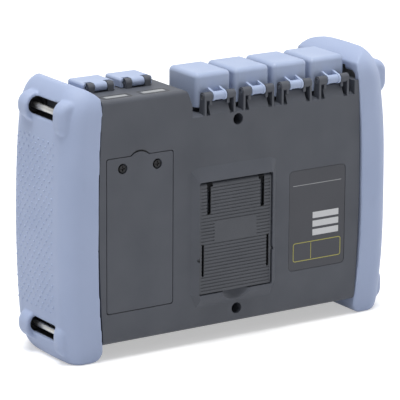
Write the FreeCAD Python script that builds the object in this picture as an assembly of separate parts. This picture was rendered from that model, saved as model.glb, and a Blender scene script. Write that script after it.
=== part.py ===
"""Handheld optical time domain reflectometer, standing on its two rubber bumpers.

Millimetres. +Z is up, X runs along the width, the screen faces -Y and the rear wall with the
kickstand faces +Y. The origin is the middle of the bounding box, on the surface it stands on.
"""
import FreeCAD, Part
import os
from math import cos, pi, sin

V = FreeCAD.Vector
os.makedirs("parts", exist_ok=True)

# ---- driving dimensions ---------------------------------------------------------------------
total_height = 166.8
total_depth = 71.0

rear_y = 32.5              # rear wall of the case
front_y = -31.5            # bezel face
split_y = rear_y - 45.0    # joint plane between the rear and front shells
case_bottom = 10.0
case_top = 158.5
brow_z = 148.0             # where the sloping brow meets the bezel face
case_half = 91.0           # full section of the case at its top and bottom edges
case_swell = 3.0           # extra half width of the full section at mid height
plug_half = 105.5          # reduced ends of the case, inside the bumpers
plug_step = 4.0            # how far the ends are set in from the full section
wall = 2.6
edge_radius = 3.0
part_gap = 0.45            # shut line around doors and covers
running_gap = 0.05         # radial clearance of a hinge barrel on its pin

# recess for the four large connector covers
deck_z = 142.0
notch_left = 29.3
notch_left_top = 33.0
notch_bend_z = 148.8
notch_edge_radius = 3.5
notch_right = -89.0
end_top = 150.0            # lowered end of the case beside the last cover

port_count = 4
port_first = 9.65
port_pitch = 27.75
port_centres = [port_first - port_pitch * i for i in range(port_count)]
port_axis_y = rear_y - 2.5
port_axis_z = 152.3
cover_width = 25.0
cover_rear = rear_y - 7.2
cover_front = rear_y - 39.0
cover_bottom = 145.0
cover_top = 165.4
cover_wall = 2.0
cover_radius = 3.0

knuckle_radius = 2.8
barrel_radius = 2.6
pin_radius = 0.9
barrel_half = 4.75
knuckle_inner = 5.35
knuckle_outer = 11.05
web_inner = 9.65
block_half = 7.05
block_top = 148.8
ramp_foot_z = 142.0
ramp_lean = 3.2

dust_centres = [78.8, 53.0]
dust_axis_y = rear_y - 24.8
dust_axis_z = 161.6
dust_width = 21.5
dust_front = rear_y - 43.5
dust_bottom = 158.9
dust_top = 164.2
dust_knuckle_inner = 4.6
dust_knuckle_outer = 8.6

# kickstand and its shallow raised surround
mid_x = -3.3               # centre line of the two case screws
stand_x = -0.8             # centre line of the kickstand
stand_half = 25.7
stand_bottom = 31.8
stand_thick = 2.4
stand_rise = 2.0           # plate face above the rear wall
stand_barrel_radius = 2.5
well_half = 26.4
well_bottom = 31.1
well_top = 101.4
well_depth = 1.1
stand_axis_z = 98.2
stand_axis_y = rear_y + stand_rise - stand_barrel_radius
surround_rise = 3.0
surround_side = 30.75
surround_top_z = 110.7
surround_low_z = 23.0
surround_cut_z = 31.6

# battery door
door_x = (42.9, 88.6)
door_z = (29.3, 123.4)
door_thick = 2.4
door_radius = 1.6
bay_depth = 24.0
door_screw_z = 116.7
door_screw_half = 12.0
door_mid = sum(door_x) / 2
tab_half = 6.0
tab_rise = 2.3
nail_radius = 18.1         # shallow nail recess above the tab
nail_depth = 2.2

plate_x = (-83.3, -41.3)
plate_z = (35.2, 98.7)
plate_depth = 0.6

screw_z = (136.7, 18.6)
screw_well_radius = 3.5
screw_well_depth = 9.0

# bumpers: (height, side, front, rear, radius of the rear corner) from bottom to top
bumper_stations = [
    (0.0, 110.0, -18.5, 30.2, 8.0),
    (5.0, 114.2, -29.6, 32.0, 11.0),
    (13.0, 115.7, -33.0, 32.8, 12.5),
    (30.0, 117.0, -34.6, 33.6, 12.5),
    (82.0, 117.9, -35.5, 33.9, 12.5),
    (124.0, 116.8, -35.0, 33.7, 13.0),
    (144.0, 115.2, -34.7, 33.2, 14.0),
    (155.0, 113.2, -33.8, 32.4, 14.0),
    (162.0, 110.2, -31.0, 29.2, 13.5),
    (total_height, 105.5, -20.0, 19.0, 9.0),
]
bumper_root = 84.0         # inner end of the loft, inside the case
front_corner = 15.5
side_bow = 0.5             # crown of the side between its two corners
flange_mid = 94.9          # inner edge of the bumper at mid height
crest_x = 107.0

# carrying bars in the bumpers
bar_x = 112.8
bar_heights = (151.5, 17.8)
bar_radius = 2.0
slot_y = (rear_y - 39.0, rear_y - 14.0)
slot_half = 5.4
cup_radius = 5.2           # front ears; the rear ears have a narrower cup
rear_cup_radius = 3.2
cup_depth = 4.0
bar_seat = 1.5             # length of each bar end held beyond its cup
bar_y = (slot_y[0] - cup_depth - bar_seat, slot_y[1] + cup_depth + bar_seat)
# ears at the slot ends: (bar height, slot end, way, centre X, radius, drop, length, dome radius)
ears = [
    (bar_heights[0], slot_y[1], 1, 109.2, 8.2, 6.0, 10.0, 4.5),
    (bar_heights[0], slot_y[0], -1, 112.3, 8.0, 1.5, 14.5, 7.0),
    (bar_heights[1], slot_y[1], 1, 109.7, 8.1, 5.5, 9.0, 4.5),
    (bar_heights[1], slot_y[0], -1, 113.2, 8.0, 1.5, 14.5, 7.0),
]
ear_lip = 1.5

# front panel
window_x = (-88.0, 57.0)
window_z = (30.0, 128.0)
window_thick = 1.8
key_column_x = 74.0


# ---- shape helpers --------------------------------------------------------------------------
def block(x0, x1, y0, y1, z0, z1):
    return Part.makeBox(x1 - x0, y1 - y0, z1 - z0, V(x0, y0, z0))


def rod(axis, start, end, radius, u, v):
    """Cylinder along an axis; u and v are its centre on the other two axes, in X, Y, Z order."""
    base = {"x": V(start, u, v), "y": V(u, start, v), "z": V(u, v, start)}[axis]
    way = {"x": V(1, 0, 0), "y": V(0, 1, 0), "z": V(0, 0, 1)}[axis]
    return Part.makeCylinder(radius, end - start, base, way)


def place(axis, at, u, v):
    return {"x": V(at, u, v), "y": V(u, at, v), "z": V(u, v, at)}[axis]


def along(axis, length):
    return {"x": V(length, 0, 0), "y": V(0, length, 0), "z": V(0, 0, length)}[axis]


def prism(axis, start, end, corners):
    """Extrude a closed outline along an axis. A corner is (u, v) or (u, v, radius)."""
    count = len(corners)
    legs = []
    for i, corner in enumerate(corners):
        here = V(corner[0], corner[1], 0)
        if len(corner) < 3:
            legs.append((here, None, here))
            continue
        back = V(*corners[i - 1][:2], 0) - here
        ahead = V(*corners[(i + 1) % count][:2], 0) - here
        half_turn = back.getAngle(ahead) / 2
        reach = corner[2] * cos(half_turn) / sin(half_turn)
        back.normalize()
        ahead.normalize()
        bisector = (back + ahead).normalize()
        centre = here + bisector * (corner[2] / sin(half_turn))
        legs.append((here + back * reach, centre - bisector * corner[2], here + ahead * reach))
    edges = []
    for i, (first, middle, last) in enumerate(legs):
        if middle is not None:
            points = [place(axis, start, p.x, p.y) for p in (first, middle, last)]
            edges.append(Part.Arc(*points).toShape())
        following = legs[(i + 1) % count][0]
        if last.distanceToPoint(following) > 1e-6:
            edges.append(Part.makeLine(place(axis, start, last.x, last.y),
                                       place(axis, start, following.x, following.y)))
    return Part.Face(Part.Wire(edges)).extrude(along(axis, end - start))


def curved_prism(axis, start, end, first, steps):
    """Extrude an outline of straight steps (end,) and three-point arcs (through, end)."""
    edges = []
    here = place(axis, start, *first)
    for step in steps:
        stop = place(axis, start, *step[-1])
        if len(step) == 2:
            edges.append(Part.Arc(here, place(axis, start, *step[0]), stop).toShape())
        else:
            edges.append(Part.makeLine(here, stop))
        here = stop
    return Part.Face(Part.Wire(edges)).extrude(along(axis, end - start))


def panel(axis, start, end, u, v, radius):
    """Rounded rectangle, u and v being its (low, high) limits, extruded along an axis."""
    return prism(axis, start, end, [(u[0], v[0], radius), (u[1], v[0], radius),
                                    (u[1], v[1], radius), (u[0], v[1], radius)])


def join(shapes):
    return shapes[0].fuse(shapes[1:]).removeSplitter() if len(shapes) > 1 else shapes[0]


def round_edges(shape, radius, wanted):
    return shape.makeFillet(radius, [e for e in shape.Edges if wanted(e)])


def mirror_x(shape):
    return shape.mirror(V(0, 0, 0), V(1, 0, 0))


def both_sides(shape, centre):
    return [shape, shape.mirror(V(centre, 0, 0), V(1, 0, 0))]


def save(name, shape):
    shape.exportStep("parts/%s.step" % name)


# ---- case shells ----------------------------------------------------------------------------
def case_envelope():
    reach = case_half + case_swell
    full = prism("x", -reach, reach,
                 [(rear_y, case_bottom, edge_radius), (rear_y, case_top, edge_radius),
                  (split_y + 1, case_top, 12.0), (front_y, brow_z, 6.0), (front_y, case_bottom, 5.0)])
    low = case_bottom - edge_radius
    high = case_top + edge_radius
    middle = (low + high) / 2
    full = full.common(curved_prism("y", -total_depth, total_depth, (-case_half, low), [
        ((case_half, low),), ((reach - 0.1, middle), (case_half, high)),
        ((-case_half, high),), ((-reach + 0.1, middle), (-case_half, low))]))
    ends = prism("x", -plug_half, plug_half,
                 [(rear_y - plug_step, case_bottom + plug_step, edge_radius),
                  (rear_y - plug_step, case_top - plug_step, edge_radius),
                  (split_y + 1, case_top - plug_step, 12.0),
                  (front_y + plug_step, brow_z - plug_step, 6.0),
                  (front_y + plug_step, case_bottom + plug_step, 4.0)])
    return full.fuse(ends)


def cover_notch():
    """The step along the top in which the four connector covers sit."""
    above = case_top + 20
    beyond = total_depth
    step = prism("y", -beyond, beyond,
                 [(notch_left, deck_z, 1.0), (notch_left, notch_bend_z, 2.0),
                  (notch_left_top, case_top, notch_edge_radius),
                  (notch_left_top + 8, case_top), (notch_left_top + 8, above),
                  (notch_right, above), (notch_right, deck_z, 1.0)])
    ramp = prism("x", notch_right, notch_left,
                 [(rear_y + 1, ramp_foot_z - 1.2), (rear_y + 1, deck_z + 1), (rear_y - 3, deck_z + 1),
                  (rear_y - 3, deck_z)])
    end_cut = block(-beyond * 2, notch_right + 0.5, -beyond, beyond, end_top, above)
    return step.fuse([ramp, end_cut])


def hinge_block(centre):
    """Ramp, two webs and two bored knuckles that carry one connector cover."""
    foot = ramp_foot_z - 2
    inner_face = cover_rear + 1.0
    ramp = prism("x", centre - block_half, centre + block_half,
                 [(rear_y, foot), (rear_y, ramp_foot_z), (rear_y - ramp_lean, block_top, 0.6),
                  (inner_face, block_top), (inner_face, foot)])
    web = prism("x", centre + web_inner, centre + knuckle_outer,
                [(rear_y, foot), (rear_y, port_axis_z), (inner_face + 1, port_axis_z),
                 (inner_face, deck_z), (inner_face, foot)])
    neck = block(centre + knuckle_inner, centre + block_half, port_axis_y - 1.8, port_axis_y + 1.8,
                 block_top - 1.5, port_axis_z)
    knuckle = rod("x", centre + knuckle_inner, centre + knuckle_outer, knuckle_radius,
                  port_axis_y, port_axis_z)
    side = web.fuse([neck, knuckle])
    whole = ramp.fuse(both_sides(side, centre))
    bore = rod("x", centre - knuckle_outer - 1, centre + knuckle_outer + 1, pin_radius,
               port_axis_y, port_axis_z)
    return whole.cut(bore)


plinth_half = 10.1
plinth_y = (cover_front + 2.6, cover_rear - 6.0)
plinth_top = 150.0
adapter_half_x = 6.4
adapter_half_y = 5.2
adapter_y = rear_y - 24.5


def plinth(centre):
    """Raised collar that one connector cover closes over."""
    return round_edges(block(centre - plinth_half, centre + plinth_half, plinth_y[0], plinth_y[1],
                             deck_z - 1, plinth_top), 1.0,
                       lambda e: e.BoundBox.ZMin > plinth_top - 0.01)


def dust_knuckles(centre):
    post = block(centre + dust_knuckle_inner, centre + dust_knuckle_outer,
                 dust_axis_y - knuckle_radius + 0.1, dust_axis_y + knuckle_radius - 0.1,
                 case_top - 1, dust_axis_z)
    ring = rod("x", centre + dust_knuckle_inner, centre + dust_knuckle_outer,
               knuckle_radius - 0.1, dust_axis_y, dust_axis_z)
    return post.fuse(ring)


def stand_surround():
    """Raised frame around the kickstand, sloping away on every side."""
    top = rear_y + surround_rise
    middle = stand_x + 0.25
    low = [(middle - surround_side, surround_cut_z), (middle - surround_side, surround_top_z - 2),
           (middle - surround_side + 4, surround_top_z), (middle + surround_side - 4, surround_top_z),
           (middle + surround_side, surround_top_z - 2), (middle + surround_side, surround_cut_z),
           (middle + surround_side - 4, surround_low_z), (middle - surround_side + 4, surround_low_z)]
    high = [(stand_x - well_half - 0.3, surround_cut_z), (stand_x - well_half - 0.3, well_top),
            (stand_x - well_half + 1, well_top + 0.7), (stand_x + well_half - 1, well_top + 0.7),
            (stand_x + well_half + 0.3, well_top), (stand_x + well_half + 0.3, surround_cut_z),
            (stand_x + well_half - 1, surround_cut_z - 3), (stand_x - well_half + 1, surround_cut_z - 3)]
    wires = []
    for y, ring in ((rear_y - 0.2, low), (top, high)):
        points = [V(x, y, z) for x, z in ring]
        wires.append(Part.makePolygon(points + points[:1]))
    return Part.makeLoft(wires, True, True)


def door_tab(face, grow):
    """Arched tab in the middle of the battery door's top edge."""
    half = tab_half + grow
    top = door_z[1] + grow
    return curved_prism("y", rear_y - door_thick, face, (door_mid - half, door_z[1] - 3), [
        ((door_mid - half, top),), ((door_mid, top + tab_rise), (door_mid + half, top)),
        ((door_mid + half, door_z[1] - 3),), ((door_mid - half, door_z[1] - 3),)])


def rear_case():
    shell = case_envelope().common(block(-150, 150, split_y, rear_y + 1, 0, 200))
    shell = shell.cut(cover_notch())
    shell = shell.fuse([stand_surround()] + [hinge_block(c) for c in port_centres]
                       + [plinth(c) for c in port_centres])
    inner = plug_half - wall
    room = block(-inner, inner, split_y - 1, rear_y - plug_step - wall,
                 case_bottom + plug_step + wall, deck_z - wall)
    tower = block(notch_left_top + wall, case_half - wall, split_y - 1, rear_y - wall,
                  deck_z - wall - 1, case_top - wall)
    deep = block(-case_half + wall, case_half - wall, split_y - 1, rear_y - wall,
                 case_bottom + wall, deck_z - wall)
    behind_well = block(stand_x - well_half - wall, stand_x + well_half + wall,
                        rear_y - 9.5, rear_y, well_bottom - wall, well_top + wall + 2)
    bay = block(door_x[0] - 0.6, door_x[1] + 0.6, rear_y - bay_depth - 1.6, rear_y,
                door_z[0] - 0.4, door_z[1] + 0.4)
    bosses = [rod("y", rear_y - screw_well_depth - 3, rear_y, screw_well_radius + 1.8, mid_x, z)
              for z in screw_z]
    solid_zones = [behind_well, bay] + bosses
    space = room.fuse([tower, deep]).cut(solid_zones[0].fuse(solid_zones[1:]))
    shell = shell.cut(space)

    # kickstand well, its detent notches and the finger scoop below the plate
    well = panel("y", rear_y - well_depth, rear_y + 3, (stand_x - well_half, stand_x + well_half),
                 (well_bottom, well_top), 1.2)
    notches = [rod("y", rear_y - well_depth, rear_y + 5, catch_radius + 0.4,
                   stand_x + side * well_half, catch_z + 0.1) for side in (-1, 1)]
    scoop = Part.makeSphere(scoop_radius, V(stand_x, rear_y + scoop_radius - 2.5, well_bottom + 3.0))
    scoop = scoop.common(block(stand_x - 20, stand_x + 20, 0, rear_y + 20, 0, well_bottom + 2))
    roller = rod("x", stand_x - well_half, stand_x + well_half, stand_barrel_radius + 0.6,
                 stand_axis_y, stand_axis_z)
    shell = shell.cut([well, scoop, roller] + notches)

    # battery bay with a ledge for the door, and the finger crescent above it
    bay_room = block(door_x[0] + 2.2, door_x[1] - 2.2, rear_y - bay_depth, rear_y + 1,
                     door_z[0] + 2.2, door_z[1] - 11.5)
    door_seat = panel("y", rear_y - door_thick, rear_y + 1,
                      (door_x[0] - part_gap, door_x[1] + part_gap),
                      (door_z[0] - part_gap, door_z[1] + part_gap), door_radius)
    tab_seat = door_tab(rear_y + 1, part_gap)
    crescent = Part.makeSphere(nail_radius, V(door_mid, rear_y + nail_radius - nail_depth,
                                              door_z[1] - 4.7))
    crescent = crescent.common(block(door_mid - 20, door_mid + 20, 0, rear_y + 20,
                                     door_z[1] - 2, door_z[1] + 20))
    door_holes = [rod("y", rear_y - 12, rear_y, 1.25, door_mid + side * door_screw_half, door_screw_z)
                  for side in (-1, 1)]
    plate_seat = panel("y", rear_y - plate_depth, rear_y + 1, plate_x, plate_z, 3.0)
    shell = shell.cut([bay_room, door_seat, tab_seat, crescent, plate_seat] + door_holes)

    # counterbored case screws
    for z in screw_z:
        shell = shell.cut([rod("y", rear_y - screw_well_depth, rear_y + 2, screw_well_radius, mid_x, z),
                           rod("y", rear_y - 40, rear_y, 1.6, mid_x, z)])

    # hinge pin of the kickstand, bored into both cheeks of the well
    shell = shell.cut(rod("x", stand_x - stand_pin_half, stand_x + stand_pin_half, stand_pin_radius,
                          stand_axis_y, stand_axis_z))

    # sockets and adapters come up through the deck
    for centre in port_centres:
        shell = shell.cut(block(centre - adapter_half_x, centre + adapter_half_x,
                                adapter_y - adapter_half_y, adapter_y + adapter_half_y,
                                deck_z - 6, plinth_top + 1))
    shell = shell.fuse([piece for c in dust_centres for piece in both_sides(dust_knuckles(c), c)])
    for centre in dust_centres:
        shell = shell.cut(rod("x", centre - 10, centre + 10, pin_radius, dust_axis_y, dust_axis_z))
    data, charge = dust_centres
    shell = shell.cut([block(data - data_half_x, data + data_half_x, socket_y - data_half_y,
                             socket_y + data_half_y, case_top - 6, case_top + 1),
                       rod("z", case_top - 6, case_top + 1, charge_radius, charge, socket_y),
                       case_gasket()])
    return shell.removeSplitter()


stand_pin_radius = 1.25
scoop_radius = 13.2
stand_pin_half = well_half + 2.0
catch_z = 53.4
catch_radius = 0.8
socket_y = -2.6
data_half_x = 7.2
data_half_y = 5.4
charge_radius = 5.0

# key name: (x from the key column, z, width, height)
keys = {
    "power_key": (0.0, 127.0, 11.0, 8.0),
    "menu_key": (-7.0, 112.0, 11.0, 7.0),
    "escape_key": (7.0, 112.0, 11.0, 7.0),
    "up_key": (0.0, 95.5, 9.0, 6.5),
    "left_key": (-9.9, 85.0, 6.5, 9.0),
    "enter_key": (0.0, 85.0, 9.0, 9.0),
    "right_key": (9.9, 85.0, 6.5, 9.0),
    "down_key": (0.0, 74.5, 9.0, 6.5),
    "run_key": (0.0, 56.0, 18.0, 10.0),
}
key_radius = 2.2
key_gap = 0.4
bezel_thick = 3.0
key_proud = 1.6
key_travel = 0.8
key_flange = 1.0


def key_limits(name):
    x, z, width, height = keys[name]
    x += key_column_x
    return (x - width / 2, x + width / 2), (z - height / 2, z + height / 2)


def front_case():
    shell = case_envelope().common(block(-150, 150, front_y - 1, split_y, 0, 200))
    shell = shell.cut(cover_notch())
    inner = plug_half - wall
    room = block(-inner, inner, front_y + plug_step + wall, split_y + 1,
                 case_bottom + plug_step + wall, deck_z - wall)
    deep = block(-case_half + wall, case_half - wall, front_y + bezel_thick, split_y + 1,
                 case_bottom + wall + 2, deck_z - wall)
    shell = shell.cut(room.fuse(deep))
    window_seat = panel("y", front_y - 1, front_y + window_thick, window_x, window_z, 3.0)
    view = block(window_x[0] + 6, window_x[1] - 6, front_y - 1, front_y + bezel_thick + 1,
                 window_z[0] + 6, window_z[1] - 6)
    key_holes = []
    for name in keys:
        x, z = key_limits(name)
        key_holes.append(panel("y", front_y - 1, front_y + bezel_thick + 1,
                               (x[0] - key_gap, x[1] + key_gap), (z[0] - key_gap, z[1] + key_gap),
                               key_radius + key_gap))
    return shell.cut([window_seat, view, case_gasket()] + key_holes).removeSplitter()


def case_gasket():
    """Seal pressed between the shells, just inside the joint line."""
    outer = block(-plug_half + 0.9, plug_half - 0.9, split_y - 0.5, split_y + 0.5,
                  case_bottom + plug_step + 0.9, deck_z - 0.9)
    inner = block(-plug_half + 1.9, plug_half - 1.9, split_y - 1, split_y + 1,
                  case_bottom + plug_step + 1.9, deck_z - 1.9)
    return outer.cut(inner)


# ---- bumpers --------------------------------------------------------------------------------
def bumper_section(z, side, front, rear, rear_round):
    """Level section of the +X bumper: a flat front and rear with rounded outer corners."""
    front_round = front_corner * min(1.0, (side - 86.0) / 28.0)
    slant = cos(pi / 4)
    middle = (rear - rear_round + front + front_round) / 2
    points = [(bumper_root, front), (side - front_round, front),
              (side - front_round * (1 - slant), front + front_round * (1 - slant)),
              (side - side_bow, front + front_round), (side, middle),
              (side - side_bow, rear - rear_round),
              (side - rear_round * (1 - slant), rear - rear_round * (1 - slant)),
              (side - rear_round, rear), (bumper_root, rear)]
    points = [V(x, y, z) for x, y in points]
    return Part.Wire([Part.makeLine(points[0], points[1]), Part.Arc(*points[1:4]).toShape(),
                      Part.Arc(*points[3:6]).toShape(), Part.Arc(*points[5:8]).toShape(),
                      Part.makeLine(points[7], points[8]), Part.makeLine(points[8], points[0])])


def bumper_outline():
    """Outline seen from behind: curved inner edge, rounded toe, and a crest sloping inwards."""
    return curved_prism("y", -total_depth, total_depth, (91.4, 8.0), [
        ((92.9, 2.6), (98.5, 0.0)), ((130.0, -1.0),), ((130.0, 170.0),),
        ((crest_x, total_height),), ((98.5, 165.0), (91.5, 159.5)), ((91.6, 154.0),),
        ((94.2, 120.0), (flange_mid, 84.0)), ((94.4, 40.0), (91.9, 12.0)), ((91.4, 8.0),)])


def bumper_ear(z, face, way, centre_x, radius, drop, length, dome):
    """Domed boss at one end of a slot; it shields the end of the carrying bar."""
    start = min(face, face + way * length)
    ear = panel("y", start, start + length, (centre_x - radius, centre_x + radius),
                (z - radius - drop, z + radius), radius)
    ear = round_edges(ear, dome, lambda e: e.BoundBox.YLength < 0.01
                      and abs(e.BoundBox.YMin - face) > 0.01)
    return round_edges(ear, ear_lip, lambda e: e.BoundBox.YLength < 0.01
                       and abs(e.BoundBox.YMin - face) < 0.01)


def bumper():
    """Rubber end cap on the +X end, with a carrying slot near its top and its bottom."""
    cap = Part.makeLoft([bumper_section(*station) for station in bumper_stations], True, False)
    cap = cap.common(bumper_outline())
    cap = cap.fuse([bumper_ear(*ear) for ear in ears])
    cap = cap.cut(case_envelope())
    for z in bar_heights:
        slot = block(plug_half - 1, bumper_root + 50, slot_y[0], slot_y[1],
                     z - slot_half, z + slot_half)
        front_cup = rod("y", slot_y[0] - cup_depth, slot_y[0] + 1, cup_radius, bar_x, z)
        rear_cup = rod("y", slot_y[1] - 1, slot_y[1] + cup_depth, rear_cup_radius, bar_x, z)
        cap = cap.cut([slot, front_cup, rear_cup, rod("y", bar_y[0], bar_y[1], bar_radius, bar_x, z)])
    return cap.removeSplitter()


def strap_bars():
    bars = [rod("y", bar_y[0], bar_y[1], bar_radius, side * bar_x, z)
            for side in (-1, 1) for z in bar_heights]
    return Part.makeCompound(bars)


# ---- covers ---------------------------------------------------------------------------------
def port_cover(centre):
    half = cover_width / 2
    shell = block(centre - half, centre + half, cover_front, cover_rear, cover_bottom, cover_top)
    shell = round_edges(shell, cover_radius, lambda e: e.BoundBox.ZMax > cover_bottom + 0.01)
    inner = block(centre - half + cover_wall, centre + half - cover_wall,
                  cover_front + cover_wall, cover_rear - cover_wall,
                  cover_bottom - 1, cover_top - cover_wall)
    shell = shell.cut(inner)
    arm_thick = 1.5
    arm_ring = 3.0
    arm = rod("x", centre + barrel_half - arm_thick, centre + barrel_half, arm_ring,
              port_axis_y, port_axis_z)
    reach = prism("x", centre + barrel_half - arm_thick, centre + barrel_half,
                  [(cover_rear - 1, port_axis_z + 0.6), (cover_rear - 1, port_axis_z + 4.6, 0.5),
                   (port_axis_y, port_axis_z + arm_ring), (port_axis_y, port_axis_z)])
    barrel = rod("x", centre - barrel_half, centre + barrel_half, barrel_radius,
                 port_axis_y, port_axis_z)
    whole = shell.fuse([barrel] + both_sides(arm.fuse(reach), centre))
    bore = rod("x", centre - barrel_half - 1, centre + barrel_half + 1, pin_radius + running_gap,
               port_axis_y, port_axis_z)
    return whole.cut(bore).removeSplitter()


def port_hinge_pins():
    return Part.makeCompound([rod("x", c - knuckle_outer, c + knuckle_outer, pin_radius,
                                  port_axis_y, port_axis_z) for c in port_centres])


def dust_cover(centre):
    half = dust_width / 2
    slab = block(centre - half, centre + half, dust_front, dust_axis_y, dust_bottom, dust_top)
    slab = round_edges(slab, 1.6, lambda e: e.BoundBox.YMax < dust_axis_y - 0.01
                       or (e.BoundBox.ZMin > dust_top - 0.01 and e.BoundBox.XLength < 0.01))
    notch = block(dust_knuckle_inner - 0.4, dust_knuckle_outer + 0.4, dust_axis_y - 3.1, dust_axis_y + 5,
                  dust_bottom - 1, dust_top + 1).translated(V(centre, 0, 0))
    slab = slab.cut(both_sides(notch, centre))
    barrel = rod("x", centre - dust_knuckle_inner + 0.4, centre + dust_knuckle_inner - 0.4,
                 barrel_radius, dust_axis_y, dust_axis_z)
    hollow = block(centre - half + 1.6, centre + half - 1.6, dust_front + 1.6, dust_axis_y - 4.6,
                   dust_bottom - 1, dust_bottom + 2.4)
    bore = rod("x", centre - 10, centre + 10, pin_radius + running_gap, dust_axis_y, dust_axis_z)
    return slab.fuse(barrel).cut([hollow, bore]).removeSplitter()


def dust_hinge_pins():
    return Part.makeCompound([rod("x", c - dust_knuckle_outer, c + dust_knuckle_outer, pin_radius,
                                  dust_axis_y, dust_axis_z) for c in dust_centres])


# ---- kickstand ------------------------------------------------------------------------------
rib_pitch = 2.05
rib_groove = 0.8
groove_depth = 0.4
bare_half = 15.2
bare_z = (64.9, 75.2)
arm_slot_x = 19.3
arm_slot_width = 2.6
arm_slot_foot = 80.8
arm_slot_head = 99.6       # the slot turns shallow where it crosses the hinge roll
arm_slot_depth = 0.95
arm_slot_hook = 1.5
catch_slot_x = 23.4
catch_slot_z = (42.6, 62.4)
catch_slot_width = 1.5


def kickstand():
    face = rear_y + stand_rise
    back = face - stand_thick
    plate = panel("y", back, face, (stand_x - stand_half, stand_x + stand_half),
                  (stand_bottom, stand_axis_z), 0.8)
    roll = rod("x", stand_x - stand_half, stand_x + stand_half, stand_barrel_radius,
               stand_axis_y, stand_axis_z)
    plate = plate.fuse(roll)
    cuts = []
    for side in (-1, 1):
        x = stand_x + side * arm_slot_x
        half = arm_slot_width / 2
        cuts.append(panel("y", back - 1, face + 1, (x - half, x + half),
                          (arm_slot_foot, stand_axis_z - stand_barrel_radius - 0.4), half * 0.95))
        cuts.append(panel("y", face - arm_slot_depth, face + 1, (x - half, x + half),
                          (arm_slot_foot, arm_slot_head), half * 0.95))
        ends = sorted((x + side * half, x + side * (half - arm_slot_width - arm_slot_hook)))
        cuts.append(panel("y", face - arm_slot_depth, face + 1, ends,
                          (arm_slot_head - 1.6, arm_slot_head), 0.6))
        x = stand_x + side * catch_slot_x
        half = catch_slot_width / 2
        cuts.append(panel("y", back - 1, face + 1, (x - half, x + half), catch_slot_z, half * 0.95))
    rib_count = int((stand_axis_z + 0.4 - stand_bottom) / rib_pitch)
    for i in range(rib_count):
        z = stand_bottom + 1.6 + i * rib_pitch
        spans = [(stand_x - stand_half + 1.0, stand_x + stand_half - 1.0)]
        if bare_z[0] - rib_groove < z < bare_z[1]:
            spans = [(spans[0][0], stand_x - bare_half), (stand_x + bare_half, spans[0][1])]
        for low, high in spans:
            cuts.append(block(low, high, face - groove_depth, face + 1, z, z + rib_groove))
    plate = plate.cut(cuts)
    catches = [rod("y", back, face - 0.4, catch_radius, stand_x + side * (stand_half + 0.2), catch_z)
               for side in (-1, 1)]
    plate = plate.fuse(catches)
    bore = rod("x", stand_x - 40, stand_x + 40, stand_pin_radius + running_gap,
               stand_axis_y, stand_axis_z)
    return plate.cut(bore).removeSplitter()


def kickstand_pin():
    return rod("x", stand_x - stand_pin_half, stand_x + stand_pin_half, stand_pin_radius,
               stand_axis_y, stand_axis_z)


# ---- battery, plates and screws -------------------------------------------------------------
def battery_door():
    door = panel("y", rear_y - door_thick, rear_y, door_x, door_z, door_radius)
    door = door.fuse(door_tab(rear_y, 0.0))
    for side in (-1, 1):
        x = door_mid + side * door_screw_half
        door = door.cut([rod("y", rear_y - 1.5, rear_y + 1, 3.2, x, door_screw_z),
                         rod("y", rear_y - 5, rear_y + 1, 1.6, x, door_screw_z)])
    return door.removeSplitter()


def pan_screw(x, z, seat_y, length, shank_radius):
    """Cross-recessed pan head; the seat is the plane under the head."""
    head = Part.makeCone(2.7, 2.1, 1.3, V(x, seat_y, z), V(0, 1, 0))
    shank = rod("y", seat_y - length, seat_y + 0.1, shank_radius, x, z)
    arm = 0.45
    cross = [block(x - 1.5, x + 1.5, seat_y + 0.6, seat_y + 3, z - arm, z + arm),
             block(x - arm, x + arm, seat_y + 0.6, seat_y + 3, z - 1.5, z + 1.5)]
    return head.fuse(shank).cut(cross)


def battery_door_screws():
    return Part.makeCompound([pan_screw(door_mid + side * door_screw_half, door_screw_z, rear_y - 1.5,
                                        8.0, 1.25) for side in (-1, 1)])


def case_screws():
    return Part.makeCompound([pan_screw(mid_x, z, rear_y - screw_well_depth, 12.0, 1.5)
                              for z in screw_z])


def battery_pack():
    pack = block(door_x[0] + 2.7, door_x[1] - 2.7, rear_y - bay_depth + 0.5, rear_y - door_thick - 0.5,
                 door_z[0] + 2.8, door_z[1] - 12.2)
    return round_edges(pack, 3.0, lambda e: e.BoundBox.ZLength > 50)


def rating_plate():
    inset = 0.25
    return panel("y", rear_y - plate_depth, rear_y - 0.15, (plate_x[0] + inset, plate_x[1] - inset),
                 (plate_z[0] + inset, plate_z[1] - inset), 2.8)


# ---- connectors -----------------------------------------------------------------------------
adapter_top = 160.4
adapter_foot = deck_z - 5.0


def optical_adapter(centre):
    """Square push-pull adapter with its ferrule sleeve, standing in the collar."""
    fit = 0.05
    body = block(centre - adapter_half_x + fit, centre + adapter_half_x - fit,
                 adapter_y - adapter_half_y + fit, adapter_y + adapter_half_y - fit,
                 adapter_foot, adapter_top)
    body = round_edges(body, 0.6, lambda e: e.BoundBox.ZMin > adapter_top - 0.01)
    flange = block(centre - adapter_half_x - 1.8, centre + adapter_half_x + 1.8,
                   adapter_y - adapter_half_y - 1.8, adapter_y + adapter_half_y + 1.8,
                   plinth_top, plinth_top + 1.4)
    socket = block(centre - 4.7, centre + 4.7, adapter_y - 3.8, adapter_y + 3.8,
                   plinth_top - 1.5, adapter_top + 1)
    keyway = block(centre - 1.5, centre + 1.5, adapter_y + 3.0, adapter_y + adapter_half_y + 1,
                   adapter_top - 3.0, adapter_top + 1)
    sleeve = rod("z", plinth_top - 2, adapter_top - 4.6, 2.3, centre, adapter_y)
    ferrule_bore = rod("z", plinth_top - 1, adapter_top, 1.27, centre, adapter_y)
    return body.fuse(flange).cut([socket, keyway]).fuse(sleeve).cut(ferrule_bore).removeSplitter()


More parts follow.
